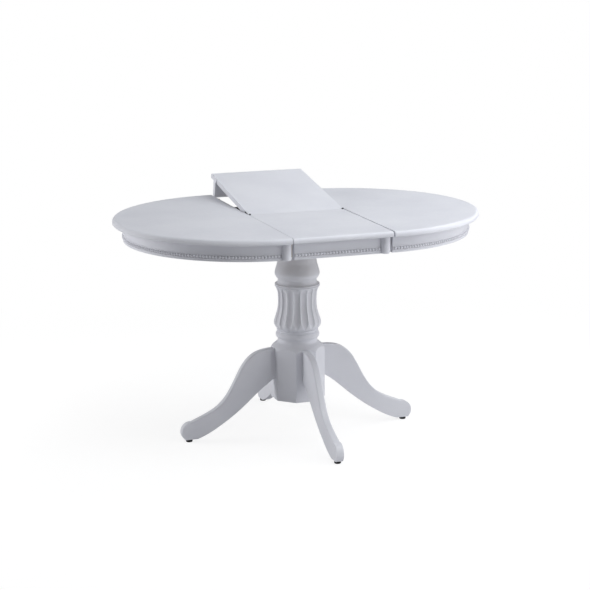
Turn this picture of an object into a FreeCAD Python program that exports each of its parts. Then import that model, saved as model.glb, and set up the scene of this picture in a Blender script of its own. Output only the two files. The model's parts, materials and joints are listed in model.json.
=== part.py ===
import FreeCAD
import Part
import math
import os

# Extending pedestal table with a two-piece folding leaf, in millimetres.
# X is the way the tops pull apart, Y is the depth of the table, Z is up from the floor.
# The origin is on the floor under the middle of the column.

Vector = FreeCAD.Vector

# Overall sizes
table_height = 750.0
top_diameter = 890.0
leaf_width = 328.0
board_thickness = 18.0
leaf_relief = 0.5
left_seam_gap = 2.0
right_seam_gap = 5.0
fold_gap = 0.3
leaf_raise_angle = 10.0

# Edge of the boards
edge_round = 11.0
under_bevel = 3.0

# Apron under the boards
apron_overhang = 34.0
apron_thickness = 20.0
apron_height = 55.0
apron_end_gap = 4.0
leaf_apron_inset = 13.0
post_width = 30.0
post_overlap = 5.0
post_chamfer = 3.0
bead_radius = 4.0
bead_rise = 14.0
corner_block_length = 44.0
corner_block_depth = 20.0
corner_block_height = 30.0
corner_block_angles = (-68.0, -25.0, 0.0, 25.0, 68.0)
leaf_block_places = (-90.0, 90.0)

# Dowels across the seams
dowel_radius = 4.0
dowel_reach = 12.0
dowel_seat = 25.0
dowel_drop = 9.0
dowel_from_apron = 16.0
inner_dowel_place = 80.0
dowel_room = 0.6
slot_room = 1.5

# Knife hinges of the leaf
hinge_plate = 2.0
hinge_length = 50.0
hinge_width = 10.0
hinge_inset = 3.0
hinge_eye_radius = 4.0
hinge_pin_radius = 2.0
pin_room = 0.05
hinge_room = 0.5

# Steel slides
rail_from_apron = 124.0
rail_end_room = 5.0
rail_drop = 30.0
rail_wall = 2.5
rail_groove = 19.0
rail_lip = 4.5
rail_height = 24.0
runner_inward = 200.0
runner_end_room = 12.8
runner_flange = 4.0
runner_flange_width = 18.0
runner_head_height = 13.0
runner_head_width = 18.0
runner_web = 8.0
runner_room = 0.4
runner_screws_from_end = (15.0, 85.0, 155.0)
runner_screw_offset = 6.5

# Bed on the column
bearer_place = 110.0
bearer_width = 60.0
bearer_height = 42.0
plate_thickness = 15.0
plate_length = 300.0
plate_depth = 220.0
plate_screw_place = 80.0
pivot_rail_gap = 71.75
pivot_board_thickness = 18.0
pivot_board_depth = 120.0
pivot_plate_thickness = 3.0
pivot_plate_length = 160.0
pivot_plate_depth = 100.0
pivot_radius = 6.0
pivot_head_radius = 11.0
pivot_head_height = 4.0
pivot_head_room = 1.0
pivot_tail_length = 2.0

# Column and hub
hub_flats = 168.0
hub_bottom = 120.0
hub_shoulder = 286.0
column_bottom = 308.0
column_foot_radius = 74.0
foot_neck_radius = 66.2
turned_length = 337.0
foot_neck_rise = 12.0
ring_radius = 73.2
ring_rise = 30.0
ring_half = 12.0
belly_neck_rise = 49.0
belly_turn_radius = 74.3
belly_turn_low = 57.0
belly_radius = 79.3
belly_rise = 70.0
belly_turn_high = 90.0
waist_turn_radius = 68.4
waist_turn = 111.0
waist_radius = 64.4
waist_rise = 155.0
flute_top_radius = 67.6
flute_top_rise = 184.0
collar_radius = 74.6
collar_rise = 200.0
collar_half = 10.0
bulb_neck_radius = 65.0
bulb_radius = 74.9
bulb_rise = 237.0
bulb_half = 18.0
bulb_step = 6.0
shaft_radius = 65.0
shaft_rise = 290.0
capital_radius = 72.0
capital_height = 18.0

# Legs
leg_thickness = 24.0
leg_root_top = 296.0
leg_root_bottom = 194.0
leg_edge_round = 5.0
toe_reach = 410.0
toe_height = 40.0
toe_round = 12.0
glide_from_toe = 27.0
glide_height = 9.0
glide_radius = 11.0
glide_edge = 1.5
glide_pin_radius = 2.5
glide_pin_length = 16.0
leg_dowel_radius = 5.0
leg_dowel_length = 60.0
leg_dowel_heights = (230.0, 280.0)

# Fasteners
tie_rod_radius = 6.0
tie_rod_room = 0.5
tie_rod_tail = 4.0
nut_flats = 19.0
nut_height = 10.0
washer_radius = 22.0
washer_thickness = 3.0
screw_radius = 2.2
screw_depth = 30.0
small_screw_radius = 1.5
small_screw_depth = 14.0
small_screw_head_radius = 2.4
small_screw_head = 1.6
screw_room = 0.05

# Places that follow from the sizes above
top_radius = top_diameter / 2
board_under = table_height - board_thickness
leaf_under = board_under + leaf_relief
apron_bottom = board_under - apron_height
bead_height = apron_bottom + bead_rise
apron_radius = top_radius - apron_overhang
apron_inner = apron_radius - apron_thickness
leaf_half = leaf_width / 2
left_seam = -leaf_half - left_seam_gap
right_seam = leaf_half + right_seam_gap
dowel_height = table_height - dowel_drop
outer_dowel_place = apron_inner - dowel_from_apron
dowel_places = (-outer_dowel_place, -inner_dowel_place, outer_dowel_place)
groove_step = (rail_groove + rail_wall) / 2
rail_width = 2 * rail_groove + 3 * rail_wall
rail_place = apron_inner - rail_from_apron
runner_edge = rail_place + groove_step + runner_flange_width / 2
runner_outward = math.sqrt(apron_inner ** 2 - runner_edge ** 2) - runner_end_room
rail_length = 2 * (runner_outward - rail_end_room)
rail_bottom = board_under - rail_drop
bearer_length = 2 * rail_place + rail_width
pivot_place = rail_width / 2 + pivot_rail_gap + pivot_board_depth / 2 - rail_place
glide_place = toe_reach - glide_from_toe
rail_floor = rail_bottom + rail_wall
rail_top = rail_bottom + rail_height
bed_bottom = rail_bottom - bearer_height
column_top = bed_bottom - plate_thickness
pivot_plate_low = rail_bottom + pivot_board_thickness
swivel_plate_low = pivot_plate_low + pivot_plate_thickness
leaf_pad_low = swivel_plate_low + pivot_plate_thickness

UP = Vector(0, 0, 1)
ALONG_X = Vector(1, 0, 0)
ORIGIN = Vector(0, 0, 0)

parts = {}


def block(x_span, y_span, z_span):
    corner = Vector(x_span[0], y_span[0], z_span[0])
    size_x = x_span[1] - x_span[0]
    size_y = y_span[1] - y_span[0]
    size_z = z_span[1] - z_span[0]
    return Part.makeBox(size_x, size_y, size_z, corner)


def upright(radius, x, y, z_low, z_high):
    return Part.makeCylinder(radius, z_high - z_low, Vector(x, y, z_low), UP)


def across(radius, x_low, x_high, y, z):
    return Part.makeCylinder(radius, x_high - x_low, Vector(x_low, y, z), ALONG_X)


def line(start, end):
    return Part.LineSegment(start, end).toShape()


def arc(start, middle, end):
    return Part.Arc(start, middle, end).toShape()


def smooth(points):
    curve = Part.BSplineCurve()
    curve.interpolate(points)
    return curve.toShape()


def plate_from(edges):
    return Part.Face(Part.Wire(edges))


def polygon(points):
    return Part.Face(Part.makePolygon(list(points) + [points[0]]))


def hex_nut(flats, hole_radius, x, y, z_low, height):
    corner = flats / math.sqrt(3)
    points = []
    for side in range(6):
        angle = math.radians(60 * side)
        points.append(Vector(x + corner * math.cos(angle), y + corner * math.sin(angle), z_low))
    solid = polygon(points).extrude(UP * height)
    return solid.cut(upright(hole_radius, x, y, z_low - 1, z_low + height + 1))


def turned_half(shape):
    return shape.rotated(ORIGIN, UP, 180)


def raised(shape):
    return shape.rotated(Vector(0, 0, table_height), ALONG_X, leaf_raise_angle)


# Boards: flat on top, a quarter round on the upper edge and a small bevel below
def board_profile(inner, under):
    bevel_end = Vector(top_radius, 0, under + under_bevel)
    round_start = Vector(top_radius, 0, table_height - edge_round)
    round_end = Vector(top_radius - edge_round, 0, table_height)
    reach = edge_round * math.sqrt(0.5)
    round_middle = Vector(top_radius - edge_round + reach, 0, table_height - edge_round + reach)
    low_start = Vector(inner, 0, under)
    low_end = Vector(top_radius - under_bevel, 0, under)
    high_start = Vector(inner, 0, table_height)
    return plate_from([
        line(low_start, low_end),
        line(low_end, bevel_end),
        line(bevel_end, round_start),
        arc(round_start, round_middle, round_end),
        line(round_end, high_start),
        line(high_start, low_start),
    ])


# A half board lies on the +X side of its seam, with the seam at x = 0
def half_board():
    profile = board_profile(0, board_under).rotated(ORIGIN, UP, -90)
    return profile.revolve(ORIGIN, UP, 180)


def half_ring(face):
    return face.rotated(ORIGIN, UP, -90).revolve(ORIGIN, UP, 180)


# The rear end of a half apron stops at its post, the front end stops short of the leaf's post
def trim_ends(ring):
    far = apron_radius + post_width
    z_span = (apron_bottom - 1, board_under + 1)
    front = block((-1, apron_end_gap), (-far, 0), z_span)
    rear = block((-1, post_width - post_overlap), (0, far), z_span)
    return ring.cut(front).cut(rear)


def apron_section(top):
    return polygon([
        Vector(apron_inner, 0, apron_bottom),
        Vector(apron_radius, 0, apron_bottom),
        Vector(apron_radius, 0, top),
        Vector(apron_inner, 0, top),
    ])


def bead_section():
    low = Vector(apron_radius, 0, bead_height - bead_radius)
    tip = Vector(apron_radius + bead_radius, 0, bead_height)
    high = Vector(apron_radius, 0, bead_height + bead_radius)
    return plate_from([arc(low, tip, high), line(high, low)])


# A half-round post on the end of an apron, its flat back level with the apron's inner face
def rear_post(x_low, top):
    half = post_width / 2
    x_high = x_low + post_width
    back_low = Vector(x_low, apron_inner, apron_bottom)
    back_high = Vector(x_high, apron_inner, apron_bottom)
    side_high = Vector(x_high, apron_radius, apron_bottom)
    side_low = Vector(x_low, apron_radius, apron_bottom)
    nose = Vector(x_low + half, apron_radius + half, apron_bottom)
    section = plate_from([
        line(back_low, back_high),
        line(back_high, side_high),
        arc(side_high, nose, side_low),
        line(side_low, back_low),
    ])
    post = section.extrude(UP * (top - apron_bottom))
    middle = Vector(x_low + half, apron_radius, apron_bottom)
    cone_low = Part.makeCone(
        half - post_chamfer, half + top_radius, top_radius + post_chamfer, middle, UP)
    behind = block((x_low, x_high), (apron_inner, apron_radius), (apron_bottom, top))
    return post.common(cone_low.fuse(behind)).removeSplitter()


def corner_block(angle):
    outer = apron_inner - screw_room
    solid = block(
        (outer - corner_block_depth, outer + corner_block_depth),
        (-corner_block_length / 2, corner_block_length / 2),
        (board_under - corner_block_height, board_under))
    solid = solid.common(upright(outer, 0, 0, apron_bottom, table_height))
    return solid.rotated(ORIGIN, UP, angle)


# Sliding runner: a head in the groove of the rail, a web and a flange under the board
def runner(y):
    head_low = rail_floor + runner_room
    head_high = head_low + runner_head_height
    flange_low = board_under - runner_flange
    x_span = (-runner_inward, runner_outward)
    head = block(x_span, (y - runner_head_width / 2, y + runner_head_width / 2), (head_low, head_high))
    web = block(x_span, (y - runner_web / 2, y + runner_web / 2), (head_high, flange_low))
    flange = block(
        x_span,
        (y - runner_flange_width / 2, y + runner_flange_width / 2),
        (flange_low, board_under))
    return head.fuse(web).fuse(flange).removeSplitter()


def runner_screw(x, y, radius):
    return upright(radius, x, y, board_under - runner_flange, board_under + small_screw_depth)


def runner_screw_with_head(x, y):
    head_high = board_under - runner_flange
    head = upright(small_screw_head_radius, x, y, head_high - small_screw_head, head_high)
    return head.fuse(runner_screw(x, y, small_screw_radius)).removeSplitter()


def half_table(dowel_line):
    runner_lines = {
        "runner_rear": rail_place + groove_step,
        "runner_front": -rail_place + groove_step,
    }
    board = half_board()
    dowels = []
    for y in dowel_line:
        dowels.append(across(dowel_radius, -dowel_reach, dowel_seat, y, dowel_height))
        board = board.cut(across(dowel_radius + screw_room, -1, dowel_seat, y, dowel_height))
    pieces = {}
    screws = []
    for name, y in runner_lines.items():
        bar = runner(y)
        for from_end in runner_screws_from_end:
            x = runner_outward - from_end
            for side in (-runner_screw_offset, runner_screw_offset):
                hole = runner_screw(x, y + side, small_screw_radius + screw_room)
                bar = bar.cut(hole)
                board = board.cut(hole)
                screws.append(runner_screw_with_head(x, y + side))
        pieces[name] = bar
    pieces["top"] = board
    pieces["apron"] = trim_ends(half_ring(apron_section(board_under)))
    pieces["bead"] = trim_ends(half_ring(bead_section()))
    pieces["post"] = rear_post(-post_overlap, board_under)
    pieces["dowels"] = Part.makeCompound(dowels)
    pieces["runner_screws"] = Part.makeCompound(screws)
    pieces["corner_blocks"] = Part.makeCompound([corner_block(a) for a in corner_block_angles])
    return pieces


for piece, shape in half_table(dowel_places).items():
    parts["right_" + piece] = shape.translated(Vector(right_seam, 0, 0))
for piece, shape in half_table([-y for y in dowel_places]).items():
    parts["left_" + piece] = turned_half(shape).translated(Vector(left_seam, 0, 0))


# Leaf halves: the rear half is drawn flat on the +Y side of the fold, the front half is turned from it
def leaf_board():
    profile = board_profile(fold_gap / 2, leaf_under).rotated(ORIGIN, UP, 90)
    board = profile.translated(Vector(-leaf_half, 0, 0)).extrude(ALONG_X * leaf_width)
    for x_low in (-leaf_half - 1, leaf_half - 3 * hinge_plate - 1):
        pocket = across(
            hinge_eye_radius + hinge_room, x_low, x_low + 3 * hinge_plate + 2, 0, table_height)
        board = board.cut(pocket)
    return board


# Hinge plate let into a side edge: a bar with an eye round the fold line
def hinge_arm(x_low, direction):
    low = table_height - hinge_inset - hinge_width
    x_span = (x_low, x_low + hinge_plate)
    bar = block(x_span, sorted((0, direction * hinge_length)), (low, low + hinge_width))
    neck = block(x_span, sorted((0, direction * hinge_eye_radius)), (low, table_height))
    eye = across(hinge_eye_radius, x_low, x_low + hinge_plate, 0, table_height)
    return bar.fuse(neck).fuse(eye).removeSplitter()


def hinge_recess(direction, depth):
    recess = []
    for x_low in (-leaf_half - 1, leaf_half - depth):
        low = table_height - hinge_inset - hinge_width - hinge_room
        high = table_height - hinge_inset + hinge_room
        ends = sorted((0, direction * (hinge_length + hinge_room)))
        recess.append(block((x_low, x_low + depth + 1), ends, (low, high)))
    return recess


fixed_arms = []
moving_arms = []
for x_fixed, x_moving in (
        (-leaf_half, -leaf_half + hinge_plate),
        (leaf_half - hinge_plate, leaf_half - 2 * hinge_plate)):
    x_pin = min(x_fixed, x_moving)
    pin = across(hinge_pin_radius, x_pin, x_pin + 2 * hinge_plate, 0, table_height)
    hole = across(hinge_pin_radius + pin_room, x_pin - 1, x_pin + 2 * hinge_plate + 1, 0, table_height)
    fixed_arms.append(hinge_arm(x_fixed, -1).fuse(pin).removeSplitter())
    moving_arms.append(hinge_arm(x_moving, 1).cut(hole))

front_board = turned_half(leaf_board())
for recess in hinge_recess(-1, hinge_plate):
    front_board = front_board.cut(recess)
rear_board = leaf_board()
for recess in hinge_recess(1, 2 * hinge_plate):
    rear_board = rear_board.cut(recess)

# Dowel holes of the front half are round; the rear half drops over its dowels, so its holes open below
for y in dowel_places:
    hole_radius = dowel_radius + dowel_room
    slot_half = dowel_radius + slot_room
    depth = dowel_reach + 2
    for x_low in (-leaf_half - 1, leaf_half - depth):
        if y < 0:
            front_board = front_board.cut(across(hole_radius, x_low, x_low + depth + 1, y, dowel_height))
        else:
            rear_board = rear_board.cut(across(slot_half, x_low, x_low + depth + 1, y, dowel_height))
            rear_board = rear_board.cut(block(
                (x_low, x_low + depth + 1),
                (y - slot_half, y + slot_half),
                (leaf_under - 1, dowel_height)))

apron_start = -leaf_half + post_width
apron_end = leaf_half - leaf_apron_inset


def along_leaf(section):
    bar = section.rotated(ORIGIN, UP, 90).translated(Vector(apron_start, 0, 0))
    return bar.extrude(ALONG_X * (apron_end - apron_start))


leaf_blocks = []
for x in leaf_block_places:
    leaf_blocks.append(block(
        (x - corner_block_length / 2, x + corner_block_length / 2),
        (apron_inner - corner_block_depth, apron_inner),
        (leaf_under - corner_block_height, leaf_under)))

leaf_trim = {
    "apron": along_leaf(apron_section(leaf_under)),
    "bead": along_leaf(bead_section()),
    "post": rear_post(-leaf_half, leaf_under),
    "corner_blocks": Part.makeCompound(leaf_blocks),
}
parts["leaf_front"] = front_board
parts["leaf_rear"] = raised(rear_board)
for piece, shape in leaf_trim.items():
    parts["leaf_front_" + piece] = turned_half(shape)
    parts["leaf_rear_" + piece] = raised(shape)
parts["leaf_hinge_fixed"] = Part.makeCompound(fixed_arms)
parts["leaf_hinge_moving"] = raised(Part.makeCompound(moving_arms))


# Fixed rail: two lipped grooves side by side, one for each half's runner
def rail(y):
    x_span = (-rail_length / 2, rail_length / 2)
    edge = rail_width / 2
    solid = block(x_span, (y - edge, y + edge), (rail_bottom, rail_top))
    for side in (-groove_step, groove_step):
        middle = y + side
        groove = block(
            x_span,
            (middle - rail_groove / 2, middle + rail_groove / 2),
            (rail_floor, rail_top - rail_wall))
        slot_half = rail_groove / 2 - rail_lip
        slot = block(x_span, (middle - slot_half, middle + slot_half), (rail_floor, rail_top))
        solid = solid.cut(groove).cut(slot)
    return solid


bearers = {
    "bearer_left": -bearer_place,
    "bearer_right": bearer_place,
}
rails = {
    "rail_front": -rail_place,
    "rail_rear": rail_place,
}
rail_screws = []
for name, y in rails.items():
    parts[name] = rail(y)
for name, x in bearers.items():
    parts[name] = block(
        (x - bearer_width / 2, x + bearer_width / 2),
        (-bearer_length / 2, bearer_length / 2),
        (bed_bottom, rail_bottom))
for rail_name, rail_y in rails.items():
    for bearer_name, x in bearers.items():
        for side in (-groove_step, groove_step):
            y = rail_y + side
            hole = upright(screw_radius + screw_room, x, y, rail_bottom - screw_depth, rail_floor)
            parts[rail_name] = parts[rail_name].cut(hole)
            parts[bearer_name] = parts[bearer_name].cut(hole)
            rail_screws.append(upright(screw_radius, x, y, rail_bottom - screw_depth, rail_floor))

# Top plate on the column, screwed up into the bearers
top_plate = block(
    (-plate_length / 2, plate_length / 2),
    (-plate_depth / 2, plate_depth / 2),
    (column_top, bed_bottom))
rod_hole = upright(tie_rod_radius + tie_rod_room, 0, 0, 0, table_height)
top_plate = top_plate.cut(rod_hole)
plate_screws = []
for bearer_name, x in bearers.items():
    for y in (-plate_screw_place, plate_screw_place):
        hole = upright(screw_radius + screw_room, x, y, column_top, bed_bottom + screw_depth)
        top_plate = top_plate.cut(hole)
        parts[bearer_name] = parts[bearer_name].cut(hole)
        plate_screws.append(upright(screw_radius, x, y, column_top, bed_bottom + screw_depth))
parts["top_plate"] = top_plate
parts["plate_screws"] = Part.makeCompound(plate_screws)
parts["rail_screws"] = Part.makeCompound(rail_screws)

# Swivel that carries the front half of the leaf
pivot_hole = upright(pivot_radius + screw_room, 0, pivot_place, bed_bottom, leaf_under)
head_hole = upright(pivot_head_radius + pivot_head_room, 0, pivot_place, leaf_pad_low, leaf_under)


def centred(length, depth, z_low, z_high):
    return block(
        (-length / 2, length / 2),
        (pivot_place - depth / 2, pivot_place + depth / 2),
        (z_low, z_high))


board_reach = 2 * bearer_place + bearer_width
parts["pivot_board"] = centred(
    board_reach, pivot_board_depth, rail_bottom, pivot_plate_low).cut(pivot_hole)
parts["pivot_plate"] = centred(
    pivot_plate_length, pivot_plate_depth, pivot_plate_low, swivel_plate_low).cut(pivot_hole)
parts["swivel_plate"] = centred(
    pivot_plate_length, pivot_plate_depth, swivel_plate_low, leaf_pad_low).cut(pivot_hole)
parts["leaf_pad"] = centred(
    pivot_plate_length, pivot_plate_depth, leaf_pad_low, leaf_under).cut(head_hole)
pivot_tail = rail_bottom - nut_height - pivot_tail_length
pivot_shank = upright(pivot_radius, 0, pivot_place, pivot_tail, leaf_pad_low)
pivot_head = upright(
    pivot_head_radius, 0, pivot_place, leaf_pad_low, leaf_pad_low + pivot_head_height)
parts["pivot_bolt"] = pivot_shank.fuse(pivot_head).removeSplitter()
parts["pivot_nut"] = hex_nut(
    nut_flats, pivot_radius + screw_room, 0, pivot_place, rail_bottom - nut_height, nut_height)


def at(radius, height):
    return Vector(radius, 0, height)


# The turned pattern is drawn on a column of turned_length and stretches with the column.
def turned_at(radius, rise):
    return at(radius, column_bottom + rise * (column_top - column_bottom) / turned_length)


# Turned column: foot, ring, vase belly and waist, collar, bulb, shaft and capital
def column_outline():
    neck = foot_neck_radius
    ring_low = turned_at(neck, ring_rise - ring_half)
    ring_tip = turned_at(ring_radius, ring_rise)
    ring_high = turned_at(neck, ring_rise + ring_half)
    vase_start = turned_at(neck, belly_neck_rise)
    vase_end = turned_at(flute_top_radius, flute_top_rise)
    collar_low = turned_at(flute_top_radius, collar_rise - collar_half)
    collar_tip = turned_at(collar_radius, collar_rise)
    collar_high = turned_at(bulb_neck_radius, collar_rise + collar_half)
    bulb_low = turned_at(bulb_neck_radius, bulb_rise - bulb_half)
    bulb_tip = turned_at(bulb_radius, bulb_rise)
    bulb_high = turned_at(shaft_radius + bulb_step, bulb_rise + bulb_half)
    shaft_low = turned_at(shaft_radius, shaft_rise)
    shaft_high = at(shaft_radius, column_top - capital_height)
    capital_low = at(capital_radius, column_top - capital_height)
    capital_high = at(capital_radius, column_top)
    foot_low = at(column_foot_radius, column_bottom)
    foot_high = turned_at(neck, foot_neck_rise)
    foot_middle = turned_at(neck + (column_foot_radius - neck) * 0.25, foot_neck_rise * 0.4)
    vase = [
        vase_start,
        turned_at(belly_turn_radius, belly_turn_low),
        turned_at(belly_radius, belly_rise),
        turned_at(belly_turn_radius, belly_turn_high),
        turned_at(waist_turn_radius, waist_turn),
        turned_at(waist_radius, waist_rise),
        vase_end,
    ]
    return [
        line(at(0, column_bottom), foot_low),
        arc(foot_low, foot_middle, foot_high),
        line(foot_high, ring_low),
        arc(ring_low, ring_tip, ring_high),
        line(ring_high, vase_start),
        smooth(vase),
        line(vase_end, collar_low),
        arc(collar_low, collar_tip, collar_high),
        line(collar_high, bulb_low),
        arc(bulb_low, bulb_tip, bulb_high),
        line(bulb_high, shaft_low),
        line(shaft_low, shaft_high),
        line(shaft_high, capital_low),
        line(capital_low, capital_high),
        line(capital_high, at(0, column_top)),
        line(at(0, column_top), at(0, column_bottom)),
    ]


parts["column"] = plate_from(column_outline()).revolve(ORIGIN, UP, 360).cut(rod_hole)

# Eight-sided hub with a turned shoulder, drilled for the legs' dowels and the tie rod
hub_corner = hub_flats / 2 / math.cos(math.radians(22.5))
hub_points = []
for side in range(8):
    angle = math.radians(22.5 + 45 * side)
    hub_points.append(Vector(hub_corner * math.cos(angle), hub_corner * math.sin(angle), hub_bottom))
hub = polygon(hub_points).extrude(UP * (column_bottom - hub_bottom))
shoulder_reach = hub_corner + 2
shoulder = plate_from([
    line(at(0, hub_bottom), at(shoulder_reach, hub_bottom)),
    line(at(shoulder_reach, hub_bottom), at(shoulder_reach, hub_shoulder)),
    arc(
        at(shoulder_reach, hub_shoulder),
        at(column_foot_radius + 9, (hub_shoulder + 2 * column_bottom) / 3),
        at(column_foot_radius, column_bottom)),
    line(at(column_foot_radius, column_bottom), at(0, column_bottom)),
    line(at(0, column_bottom), at(0, hub_bottom)),
]).revolve(ORIGIN, UP, 360)
hub = hub.common(shoulder).cut(rod_hole)


# A leg is one shaped plank, drawn along +X: a high shoulder, an S-curved back and a round toe.
# Points of its back: share of the way from root to toe, share of the drop from root to toe.
leg_back_shares = (
    (0.0, 0.0),
    (0.12, 0.011),
    (0.21, 0.046),
    (0.295, 0.125),
    (0.37, 0.258),
    (0.49, 0.538),
    (0.62, 0.723),
    (0.71, 0.79),
    (0.9, 0.895),
)
# Points of its underside: share of the way from root to toe, share of the rise from sole to root.
leg_under_shares = (
    (0.835, 0.0),
    (0.74, 0.065),
    (0.56, 0.243),
    (0.37, 0.48),
    (0.18, 0.77),
    (0.0, 1.0),
)


def leg():
    root = hub_flats / 2
    sole = glide_height
    reach = toe_reach - root
    back = [
        at(root + out * reach, leg_root_top - down * (leg_root_top - toe_height))
        for out, down in leg_back_shares
    ]
    under = [
        at(root + out * reach, sole + up * (leg_root_bottom - sole))
        for out, up in leg_under_shares
    ]
    toe_end = at(toe_reach - toe_round, sole)
    edges = [
        smooth(back),
        arc(back[-1], at(toe_reach, toe_height - 4), toe_end),
        line(toe_end, under[0]),
        smooth(under),
        line(under[-1], back[0]),
    ]
    plank = plate_from(edges).translated(Vector(0, -leg_thickness / 2, 0))
    solid = plank.extrude(Vector(0, leg_thickness, 0))
    rounded = []
    for edge in solid.Edges:
        box = edge.BoundBox
        on_back = box.ZMin > toe_height and box.XMax > root + 1 and box.YLength < 0.1
        if on_back:
            rounded.append(edge)
    solid = solid.makeFillet(leg_edge_round, rounded)
    for height in leg_dowel_heights:
        hole = across(
            leg_dowel_radius + screw_room, root, root + leg_dowel_length / 2, 0, height)
        solid = solid.cut(hole)
    pin_hole = upright(glide_pin_radius + screw_room, glide_place, 0, sole, sole + glide_pin_length)
    return solid.cut(pin_hole)


def glide():
    foot = upright(glide_radius, glide_place, 0, 0, glide_height)
    low_rim = [e for e in foot.Edges if e.BoundBox.ZMax < 0.1]
    foot = foot.makeChamfer(glide_edge, low_rim)
    pin = upright(
        glide_pin_radius, glide_place, 0, glide_height, glide_height + glide_pin_length)
    return foot.fuse(pin).removeSplitter()


leg_turns = {
    "leg_right": 0,
    "leg_rear": 90,
    "leg_left": 180,
    "leg_front": 270,
}
one_leg = leg()
one_glide = glide()
glides = []
leg_dowels = []
for name, turn in leg_turns.items():
    parts[name] = one_leg.rotated(ORIGIN, UP, turn)
    glides.append(one_glide.rotated(ORIGIN, UP, turn))
    for height in leg_dowel_heights:
        inner = hub_flats / 2 - leg_dowel_length / 2
        outer = hub_flats / 2 + leg_dowel_length / 2
        peg = across(leg_dowel_radius, inner, outer, 0, height)
        hole = across(leg_dowel_radius + screw_room, inner, outer, 0, height)
        leg_dowels.append(peg.rotated(ORIGIN, UP, turn))
        hub = hub.cut(hole.rotated(ORIGIN, UP, turn))
parts["hub"] = hub
parts["glides"] = Part.makeCompound(glides)
parts["leg_dowels"] = Part.makeCompound(leg_dowels)

# Tie rod through hub, column and top plate, with a washer and a nut at each end
rod_low = hub_bottom - washer_thickness - nut_height - tie_rod_tail
rod_high = bed_bottom + washer_thickness + nut_height + tie_rod_tail
parts["tie_rod"] = upright(tie_rod_radius, 0, 0, rod_low, rod_high)
nut_hole = tie_rod_radius + screw_room
washers = []
nuts = []
for washer_low, nut_low in (
        (hub_bottom - washer_thickness, hub_bottom - washer_thickness - nut_height),
        (bed_bottom, bed_bottom + washer_thickness)):
    washer = upright(washer_radius, 0, 0, washer_low, washer_low + washer_thickness)
    washers.append(washer.cut(upright(nut_hole, 0, 0, washer_low, washer_low + washer_thickness)))
    nuts.append(hex_nut(nut_flats, nut_hole, 0, 0, nut_low, nut_height))
parts["tie_washers"] = Part.makeCompound(washers)
parts["tie_nuts"] = Part.makeCompound(nuts)

os.makedirs("parts", exist_ok=True)
for name, shape in parts.items():
    shape.exportStep("parts/" + name + ".step")
print(len(parts), "pieces")
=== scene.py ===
import json
import math

import bpy
import mathutils
import numpy as np
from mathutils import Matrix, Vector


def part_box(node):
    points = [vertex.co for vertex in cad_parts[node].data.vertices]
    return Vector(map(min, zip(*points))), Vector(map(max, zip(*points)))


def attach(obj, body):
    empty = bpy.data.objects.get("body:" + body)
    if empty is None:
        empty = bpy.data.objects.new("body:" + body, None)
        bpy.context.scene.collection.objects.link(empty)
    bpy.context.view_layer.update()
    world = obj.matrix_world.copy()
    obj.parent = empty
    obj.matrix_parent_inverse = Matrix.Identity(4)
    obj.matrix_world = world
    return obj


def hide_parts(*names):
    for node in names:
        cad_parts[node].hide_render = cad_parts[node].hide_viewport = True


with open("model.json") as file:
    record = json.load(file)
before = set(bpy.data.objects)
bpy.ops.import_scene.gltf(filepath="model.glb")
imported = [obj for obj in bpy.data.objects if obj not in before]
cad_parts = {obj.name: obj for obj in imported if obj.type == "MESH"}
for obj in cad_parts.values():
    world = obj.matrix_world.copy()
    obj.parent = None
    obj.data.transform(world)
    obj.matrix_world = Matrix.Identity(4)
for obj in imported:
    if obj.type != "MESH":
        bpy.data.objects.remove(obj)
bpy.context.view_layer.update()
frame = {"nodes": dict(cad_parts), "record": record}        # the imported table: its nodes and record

record = frame["record"]
foldJoint = next(joint for joint in record["behaviour"]["joints"] if joint["name"] == "leaf_fold")
mm = 0.001


# sRGB hex to the linear colour that the shaders want
def linear(code):
    parts = [int(code[i:i + 2], 16) / 255 for i in (1, 3, 5)]
    return tuple(c / 12.92 if c <= 0.04045 else ((c + 0.055) / 1.055) ** 2.4 for c in parts) + (1.0,)


# adds one node, sets its properties and sockets, and links what comes in
def addNode(tree, kind, props=None, values=None, links=None):
    node = tree.nodes.new(kind)
    for key, value in (props or {}).items():
        setattr(node, key, value)
    for key, value in (values or {}).items():
        node.inputs[key].default_value = value
    for key, source in (links or {}).items():
        tree.links.new(source, node.inputs[key])
    return node


def newMaterial(name):
    material = bpy.data.materials.new(name)
    material.use_nodes = True
    tree = material.node_tree
    tree.nodes.clear()
    coords = addNode(tree, "ShaderNodeTexCoord").outputs["Object"]
    return material, tree, coords


# Satin white paint, sprayed on sanded wood: a cool white with a broad soft highlight,
# a faint orange peel and slow drifts of tone where the coat is thinner.
paintLook = {
    "colour": "#DCDDE3",
    "thin": "#D5D6DD",
    "recess": "#8A878E",     # painted shade, laid into hollows that light does not reach
    "roughness": (0.36, 0.46),
    "ior": 1.45,
    "driftMm": 220,          # slow drift of tone
    "driftSpan": (0.35, 0.65),
    "peelMm": 9,             # real peel is near 2 mm; drawn coarser so that it shows
    "peelSpan": (0.3, 0.7),
    "peelDepthMm": 0.02,
    "peelStrength": 0.35,
}


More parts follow.
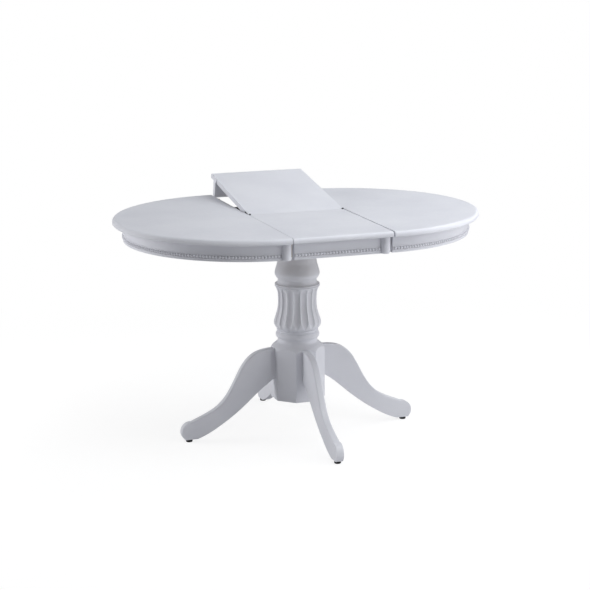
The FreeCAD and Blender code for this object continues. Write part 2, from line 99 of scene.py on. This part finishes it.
def satinPaint(name, look):
    material, tree, coords = newMaterial(name)
    drift = addNode(tree, "ShaderNodeTexNoise", values={"Scale": 1 / (look["driftMm"] * mm), "Detail": 4.0},
                    links={"Vector": coords})
    tone = addNode(tree, "ShaderNodeMapRange",
                   values={"From Min": look["driftSpan"][0], "From Max": look["driftSpan"][1]},
                   links={"Value": drift.outputs["Fac"]})
    coat = addNode(tree, "ShaderNodeMix", props={"data_type": "RGBA"},
                   values={6: linear(look["thin"]), 7: linear(look["colour"])},
                   links={0: tone.outputs[0]})
    # painted shade: each mesh's own weights mix a grey into the coat in its hollows
    paintedShadeMask = addNode(tree, "ShaderNodeAttribute", props={"attribute_name": "recess"})
    colour = addNode(tree, "ShaderNodeMix", props={"data_type": "RGBA"}, values={7: linear(look["recess"])},
                     links={0: paintedShadeMask.outputs["Fac"], 6: coat.outputs[2]})
    peel = addNode(tree, "ShaderNodeTexNoise", values={"Scale": 1 / (look["peelMm"] * mm), "Detail": 2.0},
                   links={"Vector": coords})
    gloss = addNode(tree, "ShaderNodeMapRange",
                    values={"From Min": look["peelSpan"][0], "From Max": look["peelSpan"][1],
                            "To Min": look["roughness"][0], "To Max": look["roughness"][1]},
                    links={"Value": peel.outputs["Fac"]})
    bump = addNode(tree, "ShaderNodeBump",
                   values={"Strength": look["peelStrength"], "Distance": look["peelDepthMm"] * mm},
                   links={"Height": peel.outputs["Fac"]})
    shader = addNode(tree, "ShaderNodeBsdfPrincipled", values={"IOR": look["ior"]},
                     links={"Base Color": colour.outputs[2], "Roughness": gloss.outputs[0],
                            "Normal": bump.outputs["Normal"]})
    addNode(tree, "ShaderNodeOutputMaterial", links={"Surface": shader.outputs[0]})
    return material


# Planed wood: pale and dark growth bands drawn out along the board, with short pores.
# The pine is dull and greyed under the table, the beech of the dowels is warm and fine.
woodLook = {
    "poreMm": 2.5,           # real pores are finer; drawn coarser so that they show
    "poreDepthMm": 0.1,
    "poreStrength": 0.3,
    "roughness": (0.52, 0.72),
    "ior": 1.5,
    "waver": 0.6,            # how far the bands wander
}
pineLook = {"pale": "#9C8768", "dark": "#806B4C", "bandMm": 6, "stretch": (1, 0.08, 1)}
beechLook = {"pale": "#C89E6E", "dark": "#A87B4C", "bandMm": 3, "stretch": (0.08, 1, 1)}


def planedWood(name, wood, look):
    material, tree, coords = newMaterial(name)
    along = addNode(tree, "ShaderNodeMapping", values={"Scale": wood["stretch"]}, links={"Vector": coords})
    bands = addNode(tree, "ShaderNodeTexNoise",
                    values={"Scale": 1 / (wood["bandMm"] * mm), "Detail": 5.0, "Distortion": look["waver"]},
                    links={"Vector": along.outputs[0]})
    pores = addNode(tree, "ShaderNodeTexNoise", values={"Scale": 1 / (look["poreMm"] * mm), "Detail": 2.0},
                    links={"Vector": along.outputs[0]})
    colour = addNode(tree, "ShaderNodeMix", props={"data_type": "RGBA"},
                     values={6: linear(wood["dark"]), 7: linear(wood["pale"])},
                     links={0: bands.outputs["Fac"]})
    gloss = addNode(tree, "ShaderNodeMapRange",
                    values={"To Min": look["roughness"][0], "To Max": look["roughness"][1]},
                    links={"Value": pores.outputs["Fac"]})
    bump = addNode(tree, "ShaderNodeBump",
                   values={"Strength": look["poreStrength"], "Distance": look["poreDepthMm"] * mm},
                   links={"Height": pores.outputs["Fac"]})
    shader = addNode(tree, "ShaderNodeBsdfPrincipled", values={"IOR": look["ior"]},
                     links={"Base Color": colour.outputs[2], "Roughness": gloss.outputs[0],
                            "Normal": bump.outputs["Normal"]})
    addNode(tree, "ShaderNodeOutputMaterial", links={"Surface": shader.outputs[0]})
    return material


# Steel under a finish: draw marks along X show in the gloss, with slow drifts of tone.
# Lacquer hides the metal of the slides; zinc and the dark hinge finish let it shine.
steelLook = {
    "markMm": 1.5,           # real marks are finer; drawn coarser so that they show
    "markStretch": (0.05, 1, 1),
    "markDepthMm": 0.03,
    "markStrength": 0.25,
    "driftMm": 40,
    "glossSpread": (-0.08, 0.12),
}
slideLook = {"colour": "#0B0B0C", "worn": "#161618", "metallic": 0.0, "roughness": 0.36}
zincLook = {"colour": "#A9ABAE", "worn": "#8E9196", "metallic": 1.0, "roughness": 0.34}
hingeLook = {"colour": "#4A4947", "worn": "#35353A", "metallic": 1.0, "roughness": 0.4}


def drawnSteel(name, finish, look):
    material, tree, coords = newMaterial(name)
    along = addNode(tree, "ShaderNodeMapping", values={"Scale": look["markStretch"]},
                    links={"Vector": coords})
    marks = addNode(tree, "ShaderNodeTexNoise", values={"Scale": 1 / (look["markMm"] * mm), "Detail": 3.0},
                    links={"Vector": along.outputs[0]})
    drift = addNode(tree, "ShaderNodeTexNoise", values={"Scale": 1 / (look["driftMm"] * mm), "Detail": 3.0},
                    links={"Vector": coords})
    tone = addNode(tree, "ShaderNodeMix", props={"data_type": "RGBA"},
                   values={6: linear(finish["colour"]), 7: linear(finish["worn"])},
                   links={0: drift.outputs["Fac"]})
    gloss = addNode(tree, "ShaderNodeMapRange",
                    values={"To Min": finish["roughness"] + look["glossSpread"][0],
                            "To Max": finish["roughness"] + look["glossSpread"][1]},
                    links={"Value": marks.outputs["Fac"]})
    bump = addNode(tree, "ShaderNodeBump",
                   values={"Strength": look["markStrength"], "Distance": look["markDepthMm"] * mm},
                   links={"Height": marks.outputs["Fac"]})
    shader = addNode(tree, "ShaderNodeBsdfPrincipled", values={"Metallic": finish["metallic"]},
                     links={"Base Color": tone.outputs[2], "Roughness": gloss.outputs[0],
                            "Normal": bump.outputs["Normal"]})
    addNode(tree, "ShaderNodeOutputMaterial", links={"Surface": shader.outputs[0]})
    return material


# Moulded polyethylene glide: matt black with a fine moulded grain and scuffed patches.
glideLook = {
    "colour": "#121213",
    "scuffed": "#242427",
    "roughness": (0.45, 0.65),
    "ior": 1.51,
    "grainMm": 1.2,
    "grainDepthMm": 0.05,
    "grainStrength": 0.4,
    "scuffMm": 8,
}


def mouldedGlide(name, look):
    material, tree, coords = newMaterial(name)
    grain = addNode(tree, "ShaderNodeTexNoise", values={"Scale": 1 / (look["grainMm"] * mm), "Detail": 2.0},
                    links={"Vector": coords})
    scuff = addNode(tree, "ShaderNodeTexNoise", values={"Scale": 1 / (look["scuffMm"] * mm), "Detail": 3.0},
                    links={"Vector": coords})
    colour = addNode(tree, "ShaderNodeMix", props={"data_type": "RGBA"},
                     values={6: linear(look["colour"]), 7: linear(look["scuffed"])},
                     links={0: scuff.outputs["Fac"]})
    gloss = addNode(tree, "ShaderNodeMapRange",
                    values={"To Min": look["roughness"][0], "To Max": look["roughness"][1]},
                    links={"Value": scuff.outputs["Fac"]})
    bump = addNode(tree, "ShaderNodeBump",
                   values={"Strength": look["grainStrength"], "Distance": look["grainDepthMm"] * mm},
                   links={"Height": grain.outputs["Fac"]})
    shader = addNode(tree, "ShaderNodeBsdfPrincipled", values={"IOR": look["ior"]},
                     links={"Base Color": colour.outputs[2], "Roughness": gloss.outputs[0],
                            "Normal": bump.outputs["Normal"]})
    addNode(tree, "ShaderNodeOutputMaterial", links={"Surface": shader.outputs[0]})
    return material


finishOf = {
    "white_paint": satinPaint("satin_white_paint", paintLook),
    "bare_wood": planedWood("planed_pine", pineLook, woodLook),
    "beech": planedWood("beech_dowel", beechLook, woodLook),
    "slide_steel": drawnSteel("black_lacquered_steel", slideLook, steelLook),
    "zinc_steel": drawnSteel("zinc_plated_steel", zincLook, steelLook),
    "hinge_steel": drawnSteel("dark_hinge_steel", hingeLook, steelLook),
    "glide_plastic": mouldedGlide("moulded_glide_plastic", glideLook),
}
print("materials:", len(finishOf))

# every carried-over piece takes the finish of its slot
slotOf = {row["node"]: row["material_slot"] for row in record["subparts"]}
for nodeName, piece in frame["nodes"].items():
    piece.data.materials.clear()
    piece.data.materials.append(finishOf[slotOf[nodeName]])
print("finished nodes:", len(slotOf))


# a tube of rings, each ring one row of points: its quads, and the two faces that close its ends
def tubeFaces(rings, sides):
    ring = np.arange(sides)
    row = np.arange(rings - 1)[:, None] * sides
    here = row + ring
    beside = row + (ring + 1) % sides
    quads = np.stack([here, beside, beside + sides, here + sides], axis=-1).reshape(-1, 4)
    return quads, np.stack([ring[::-1], ring + (rings - 1) * sides])


# faceSets are arrays of faces, each array with its own number of corners
def addPiece(name, points, faceSets, body, slotName, sharpDegrees, recess):
    mesh = bpy.data.meshes.new(name)
    faces = sum((faceSet.tolist() for faceSet in faceSets), [])
    mesh.from_pydata(points.reshape(-1, 3).tolist(), [], faces)
    mesh.validate()
    mesh.shade_smooth()
    mesh.set_sharp_from_angle(angle=math.radians(sharpDegrees))
    # the weight of painted shade at each point
    paintedShadeWeights = mesh.attributes.new("recess", "FLOAT", "POINT")
    paintedShadeWeights.data.foreach_set("value", np.asarray(recess, np.float32).ravel())
    mesh.materials.append(finishOf[slotName])
    piece = bpy.data.objects.new(name, mesh)
    bpy.context.scene.collection.objects.link(piece)
    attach(piece, body)
    return piece


# Turned column with flutes: all heights in mm above the column's foot.
columnLook = {
    "flutes": 18,
    "fluteDepth": 4.8,
    "fluteShare": 0.92,      # scoop's share of the pitch, the rest is the rib
    "fluteLow": 53,
    "fluteHigh": 195,
    "lowTaper": 34,          # length of the pointed lower end
    "highTaper": 18,         # length of the arched upper end
    # painted shade in the flutes, deepest at the middle of each scoop
    "flutePaintedShade": 0.05,
    "stepsPerFlute": 14,
    "sharpDegrees": 38,
}


# circle through three points (radius, height), walked from the first to the last
def arcThrough(start, middle, end, count):
    (ax, ay), (bx, by), (cx, cy) = start, middle, end
    d = 2 * (ax * (by - cy) + bx * (cy - ay) + cx * (ay - by))
    ux = ((ax**2 + ay**2) * (by - cy) + (bx**2 + by**2) * (cy - ay) + (cx**2 + cy**2) * (ay - by)) / d
    uy = ((ax**2 + ay**2) * (cx - bx) + (bx**2 + by**2) * (ax - cx) + (cx**2 + cy**2) * (bx - ax)) / d
    turns = np.unwrap([math.atan2(y - uy, x - ux) for x, y in (start, middle, end)])
    angles = np.linspace(turns[0], turns[2], count)
    radius = math.hypot(ax - ux, ay - uy)
    return np.stack([ux + radius * np.cos(angles), uy + radius * np.sin(angles)], axis=1)


# cubic through the points, each slope taken from the two neighbours
def flowing(points, count):
    p = np.array(points, float)
    slope = np.gradient(p, axis=0)
    t = np.linspace(0, len(p) - 1, count)
    i = np.minimum(t.astype(int), len(p) - 2)
    f = (t - i)[:, None]
    return ((2 * f**3 - 3 * f**2 + 1) * p[i] + (f**3 - 2 * f**2 + f) * slope[i]
            + (3 * f**2 - 2 * f**3) * p[i + 1] + (f**3 - f**2) * slope[i + 1])


# points (radius, height) of the turning, from the foot up
def columnOutline(top):
    return np.concatenate([
        [(74, 0)],
        arcThrough((74, 0.5), (68.2, 4.6), (66.2, 12), 8),                    # foot
        arcThrough((66.4, 17.6), (73.2, 29.5), (67.2, 40.6), 16),             # ring
        arcThrough((66.4, 41.6), (69.6, 44.6), (66.4, 47.6), 9),              # thin ring over it
        flowing([(66.4, 49), (74.3, 57), (79.0, 70), (74.0, 90), (67.8, 111), (64.6, 132), (64.4, 155),
                 (66.0, 174), (70.0, 186)], 110),                             # vase
        arcThrough((70.6, 187.4), (72.2, 190.6), (73.9, 193.8), 6),           # flare of the vase
        arcThrough((74.0, 194.2), (75.0, 196.0), (74.0, 197.6), 6),           # lip
        [(73.2, 198.0), (73.2, 198.6)],
        arcThrough((73.8, 199.0), (75.0, 200.6), (72.0, 203.0), 7),           # second lip
        arcThrough((71.4, 203.4), (66.8, 205.6), (65, 209.5), 6),
        [(65, 219)],
        flowing([(65, 220), (70.6, 226), (74.9, 237), (72.8, 250), (69.6, 261), (66, 275), (65, 290)],
                40),                                                          # bulb and shaft
        [(65, top - 18), (72, top - 18), (72, top)],                          # capital
    ])


# radius = turned outline less a scoop; the scoop is depth * width * sqrt(1 - (across / width)^2),
# with across from -1 to 1 over one flute and width falling to 0 at both ends of the vase
def flutedColumn(look):
    low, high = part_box("column")
    outline = columnOutline((high[2] - low[2]) / mm)
    radius, height = outline[:, 0], outline[:, 1]
    steps = look["flutes"] * look["stepsPerFlute"]
    turn = np.arange(steps) * 2 * np.pi / steps
    across = np.abs(((turn * look["flutes"] / (2 * np.pi)) % 1) - 0.5) * 2 / look["fluteShare"]
    rise = np.clip((height - look["fluteLow"]) / look["lowTaper"], 0, 1)
    fall = np.clip((look["fluteHigh"] - height) / look["highTaper"], 0, 1)
    width = np.sin(rise * np.pi / 2) * np.sqrt(1 - (1 - fall) ** 2)
    inside = np.clip(1 - (across[None, :] / np.maximum(width[:, None], 1e-6)) ** 2, 0, 1)
    scoop = width[:, None] * np.sqrt(inside)
    r = (radius[:, None] - look["fluteDepth"] * scoop) * mm
    z = np.broadcast_to(low[2] + height[:, None] * mm, r.shape)
    points = np.stack([r * np.cos(turn), r * np.sin(turn), z], axis=-1)
    faces = tubeFaces(len(outline), steps)
    # the flutes' hollows get painted shade in proportion to the scoop
    piece = addPiece("fluted_column", points, faces, "base", "white_paint", look["sharpDegrees"],
                     scoop * look["flutePaintedShade"])
    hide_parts("column")


flutedColumn(columnLook)
print("column done")

# Bead rows: round beads in a quirk between two thin fillets, carried along the apron's face.
# The moulding's outline is (proud of the face, height from the beads' middle line), in mm.
beadLook = {
    "pitch": 10.1,
    "bead": 8.8,
    "proud": 3.2,
    "seat": 0.7,
    "endRoom": 2,            # least length of a row that stays free of beads
    "sides": 10,
    "rings": 5,
    "domeEnd": 0.45 * math.pi,
    "ringSteps": 160,        # points along a half ring
    "leafSteps": 4,
    "moulding": ((-0.5, 7.8), (1.2, 7.8), (1.8, 6.6), (1.4, 5.6), (0.6, 5.1), (0.6, -5.1),
                 (1.4, -5.6), (1.8, -6.9), (1.2, -8.2), (-0.5, -8.2)),
    "paintedShadeWeights": (0, 0, 0, 0, 0.4, 0.4, 0, 0, 0, 0),     # painted shade in the quirk behind the beads
    "sharpDegrees": 50,
}


# the beads' middles, evenly spaced about the middle of the path, and the way out at each
def beadPlaces(path, outward, look):
    run = np.concatenate([[0], np.cumsum(np.linalg.norm(np.diff(path, axis=0), axis=1))])
    count = int((run[-1] - look["endRoom"] * mm) / (look["pitch"] * mm))
    at = run[-1] / 2 + (np.arange(count) - (count - 1) / 2) * look["pitch"] * mm
    return [np.stack([np.interp(at, run, line[:, k]) for k in (0, 1)], axis=1) for line in (path, outward)]


# each bead is half * cos(lift) around and proud * sin(lift) outward, lift from 0 to nearly 90 degrees
def beadDomes(centre, out, midHeight, look):
    side = np.stack([-out[:, 1], out[:, 0]], axis=1)
    turn = np.arange(look["sides"]) * 2 * np.pi / look["sides"]
    lift = np.linspace(0, look["domeEnd"], look["rings"])
    around = look["bead"] / 2 * mm * np.cos(lift)[:, None]
    along = around * np.cos(turn)[None, :]
    up = around * np.sin(turn)[None, :]
    proud = np.broadcast_to((look["seat"] + look["proud"] * np.sin(lift))[:, None] * mm, up.shape)
    flat = (centre[:, None, None, :] + out[:, None, None, :] * proud[None, ..., None]
            + side[:, None, None, :] * along[None, ..., None])
    return np.concatenate([flat, np.broadcast_to(midHeight + up, flat.shape[:3])[..., None]], axis=-1)


# the moulding's outline carried along the path
def mouldingStrip(path, outward, midHeight, look):
    profile = np.array(look["moulding"]) * mm
    strip = np.empty((len(path), len(profile), 3))
    strip[..., :2] = path[:, None, :] + outward[:, None, :] * profile[None, :, :1]
    strip[..., 2] = midHeight + profile[None, :, 1]
    return strip


# the points turned about the leaf's hinge, from flat to the angle at which the photo shows it
def raisedOnHinge(points):
    raised = -math.radians(foldJoint["range_deg"][0])
    hinge = foldJoint["pos_m"]
    y, z = points[:, 1] - hinge[1], points[:, 2] - hinge[2]
    return np.stack([points[:, 0],
                     hinge[1] + y * math.cos(raised) - z * math.sin(raised),
                     hinge[2] + y * math.sin(raised) + z * math.cos(raised)], axis=1)


# path and outward are (n, 2) in metres
def beadRow(name, node, path, outward, midHeight, body, look, onRaisedLeaf=False):
    beads = beadDomes(*beadPlaces(path, outward, look), midHeight, look)
    strip = mouldingStrip(path, outward, midHeight, look)
    perBead = look["rings"] * look["sides"]
    first = (np.arange(len(beads)) * perBead)[:, None, None]
    beadFaces = [(first + one).reshape(-1, one.shape[1]) for one in tubeFaces(look["rings"], look["sides"])]
    stripFaces = [one + perBead * len(beads) for one in tubeFaces(*strip.shape[:2])]
    points = np.concatenate([beads.reshape(-1, 3), strip.reshape(-1, 3)])
    # painted shade in the strip's quirk; the beads get none
    recess = np.concatenate([np.zeros(perBead * len(beads)), np.tile(look["paintedShadeWeights"], len(path))])
    if onRaisedLeaf:
        points = raisedOnHinge(points)
    piece = addPiece(name, points, beadFaces + stripFaces, body, "white_paint", look["sharpDegrees"], recess)
    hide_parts(node)


# nearest and farthest x of a node on its side of the table, both counted outward
def reachOf(node, side):
    low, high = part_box(node)
    return (low[0], high[0]) if side > 0 else (-high[0], -low[0])


# half ring round its seam: from the plain end to the post
def ringPath(half, side, steps):
    seam = reachOf(half + "_top", side)[0]
    radius = reachOf(half + "_apron", side)[1] - seam
    plainEnd = reachOf(half + "_bead", side)[0]
    postEnd = reachOf(half + "_post", side)[1]
    angle = np.linspace(-math.acos((plainEnd - seam) / radius), math.acos((postEnd - seam) / radius), steps)
    outward = side * np.stack([np.cos(angle), np.sin(angle)], axis=1)
    return outward * radius + np.array([side * seam, 0]), outward


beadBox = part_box("leaf_front_bead")
beadMiddle = (beadBox[0][2] + beadBox[1][2]) / 2
for half, side in (("right", 1), ("left", -1)):
    path, outward = ringPath(half, side, beadLook["ringSteps"])
    beadRow(half + "_bead_row", half + "_bead", path, outward, beadMiddle, half + "_half", beadLook)
leafX = np.linspace(beadBox[0][0], beadBox[1][0], beadLook["leafSteps"])
frontPath = np.stack([leafX, np.full(len(leafX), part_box("leaf_front_apron")[0][1])], axis=1)
frontOut = np.tile((0.0, -1.0), (len(leafX), 1))
beadRow("leaf_front_bead_row", "leaf_front_bead", frontPath, frontOut, beadMiddle, "base", beadLook)
# the rear half is the front half turned about the column, then raised on its hinge
beadRow("leaf_rear_bead_row", "leaf_rear_bead", -frontPath, -frontOut, beadMiddle, "leaf_rear_half", beadLook,
        onRaisedLeaf=True)
print("bead rows done")

# Floor: plain and pale; the camera sees it lifted to white, with the table's shadow kept round the legs
floorLook = {
    "size": 60.0,
    "bounce": "#D4D4D6",     # what the table is lit by from below
    "shadow": 0.25,          # share of the floor's white that the shadow can take away
    "lift": 0.8,
    "far": 1.0,
    "fade": (0.6, 2.2),      # metres from the column over which the floor turns to plain white
}


def paleFloor(look):
    edge = look["size"] / 2
    mesh = bpy.data.meshes.new("floor")
    corners = [(-edge, -edge, 0), (edge, -edge, 0), (edge, edge, 0), (-edge, edge, 0)]
    mesh.from_pydata(corners, [], [(0, 1, 2, 3)])
    floor = bpy.data.objects.new("floor", mesh)
    bpy.context.scene.collection.objects.link(floor)
    material, tree, coords = newMaterial("pale_floor")
    ray = addNode(tree, "ShaderNodeLightPath")
    bounce = addNode(tree, "ShaderNodeBsdfDiffuse", values={"Color": linear(look["bounce"])})
    shadow = addNode(tree, "ShaderNodeBsdfDiffuse", values={"Color": (look["shadow"],) * 3 + (1,)})
    lift = addNode(tree, "ShaderNodeEmission", values={"Strength": look["lift"]})
    near = addNode(tree, "ShaderNodeAddShader", links={0: shadow.outputs[0], 1: lift.outputs[0]})
    far = addNode(tree, "ShaderNodeEmission", values={"Strength": look["far"]})
    reach = addNode(tree, "ShaderNodeVectorMath", props={"operation": "LENGTH"}, links={0: coords})
    fade = addNode(tree, "ShaderNodeMapRange", props={"interpolation_type": "SMOOTHSTEP"},
                   values={"From Min": look["fade"][0], "From Max": look["fade"][1]},
                   links={"Value": reach.outputs["Value"]})
    shown = addNode(tree, "ShaderNodeMixShader",
                    links={0: fade.outputs[0], 1: near.outputs[0], 2: far.outputs[0]})
    surface = addNode(tree, "ShaderNodeMixShader",
                      links={0: ray.outputs["Is Camera Ray"], 1: bounce.outputs[0], 2: shown.outputs[0]})
    addNode(tree, "ShaderNodeOutputMaterial", links={"Surface": surface.outputs[0]})
    mesh.materials.append(material)


paleFloor(floorLook)

# Light: an even dim room and six softboxes; the right is the brighter side and the front left stays darkest
roomLook = {"level": 0.24, "seen": 1.0}      # light of the room, and the white that the camera sees
highBox = {"above": 2.0, "tint": (0.95, 0.975, 1.0)}     # the high boxes are a little cooler
lampLook = {
    "right_front_softbox": {"place": (2.0, -2.2, 1.0), "aim": (0, 0, 0.45), "size": 1.6, "watts": 22},
    "right_softbox": {"place": (2.9, -0.3, 1.1), "aim": (0, 0, 0.45), "size": 1.6, "watts": 24},
    "left_rear_softbox": {"place": (-2.6, 1.2, 1.0), "aim": (0, 0, 0.45), "size": 1.6, "watts": 46},
    "overhead_softbox": {"place": (1.4, 0.3, 2.6), "aim": (0.3, 0, 0.7), "size": 1.8, "watts": 28},
    "high_right_softbox": {"place": (1.5, -1.7, 2.3), "aim": (0, 0, 0.6), "size": 1.6, "watts": 12},
    "high_front_softbox": {"place": (0.2, -1.4, 3.0), "aim": (0, 0, 0.6), "size": 1.6, "watts": 26},
}


def studioRoom(look):
    world = bpy.data.worlds.new("studio")
    bpy.context.scene.world = world
    world.use_nodes = True
    tree = world.node_tree
    tree.nodes.clear()
    ray = addNode(tree, "ShaderNodeLightPath")
    seen = addNode(tree, "ShaderNodeMath", props={"operation": "MAXIMUM"},
                   links={0: ray.outputs["Is Camera Ray"], 1: ray.outputs["Is Transmission Ray"]})
    strength = addNode(tree, "ShaderNodeMix", props={"data_type": "FLOAT"},
                       values={2: look["level"], 3: look["seen"]}, links={0: seen.outputs[0]})
    room = addNode(tree, "ShaderNodeBackground", values={"Color": (1, 1, 1, 1)},
                   links={"Strength": strength.outputs[0]})
    addNode(tree, "ShaderNodeOutputWorld", links={"Surface": room.outputs[0]})


def softbox(name, look):
    lamp = bpy.data.lights.new(name, "AREA")
    lamp.size = look["size"]
    lamp.energy = look["watts"]
    holder = bpy.data.objects.new(name, lamp)
    bpy.context.scene.collection.objects.link(holder)
    holder.location = look["place"]
    aim = mathutils.Vector(look["aim"]) - holder.location
    holder.rotation_euler = aim.to_track_quat("-Z", "Y").to_euler()
    holder.visible_camera = False
    if look["place"][2] > highBox["above"]:
        lamp.color = highBox["tint"]
    else:
        holder.visible_glossy = False        # the low boxes leave no glare on the top


studioRoom(roomLook)
for name, look in lampLook.items():
    softbox(name, look)

# Camera as fitted to the rims, seams and glides; the image is square, 590 pixels wide
cameraLook = {
    "place": (-1.82257, -5.25954, 1.72319),
    "azimuth": -19.0346,
    "elevation": 12.6995,
    "roll": -0.3634,
    "focalPixels": 1710.46,
    "imagePixels": 590,
    "sensorMm": 36.0,
    "farthest": 100,
}


def photoCamera(look):
    camera = bpy.data.cameras.new("photo_camera")
    camera.sensor_fit = "HORIZONTAL"
    camera.sensor_width = look["sensorMm"]
    camera.lens = look["focalPixels"] / look["imagePixels"] * look["sensorMm"]
    camera.clip_end = look["farthest"]
    holder = bpy.data.objects.new("photo_camera", camera)
    bpy.context.scene.collection.objects.link(holder)
    az, el, roll = (math.radians(look[k]) for k in ("azimuth", "elevation", "roll"))
    back = np.array([math.sin(az) * math.cos(el), -math.cos(az) * math.cos(el), math.sin(el)])
    right = np.cross(-back, (0, 0, 1))
    right /= np.linalg.norm(right)
    up = np.cross(right, -back)
    place = np.eye(4)
    place[:3, 0] = math.cos(roll) * right + math.sin(roll) * up
    place[:3, 1] = math.cos(roll) * up - math.sin(roll) * right
    place[:3, 2] = back
    place[:3, 3] = look["place"]
    holder.matrix_world = mathutils.Matrix(place.tolist())
    bpy.context.scene.camera = holder


photoCamera(cameraLook)
bpy.context.scene.view_settings.view_transform = "Standard"
print("stage, light and camera done")
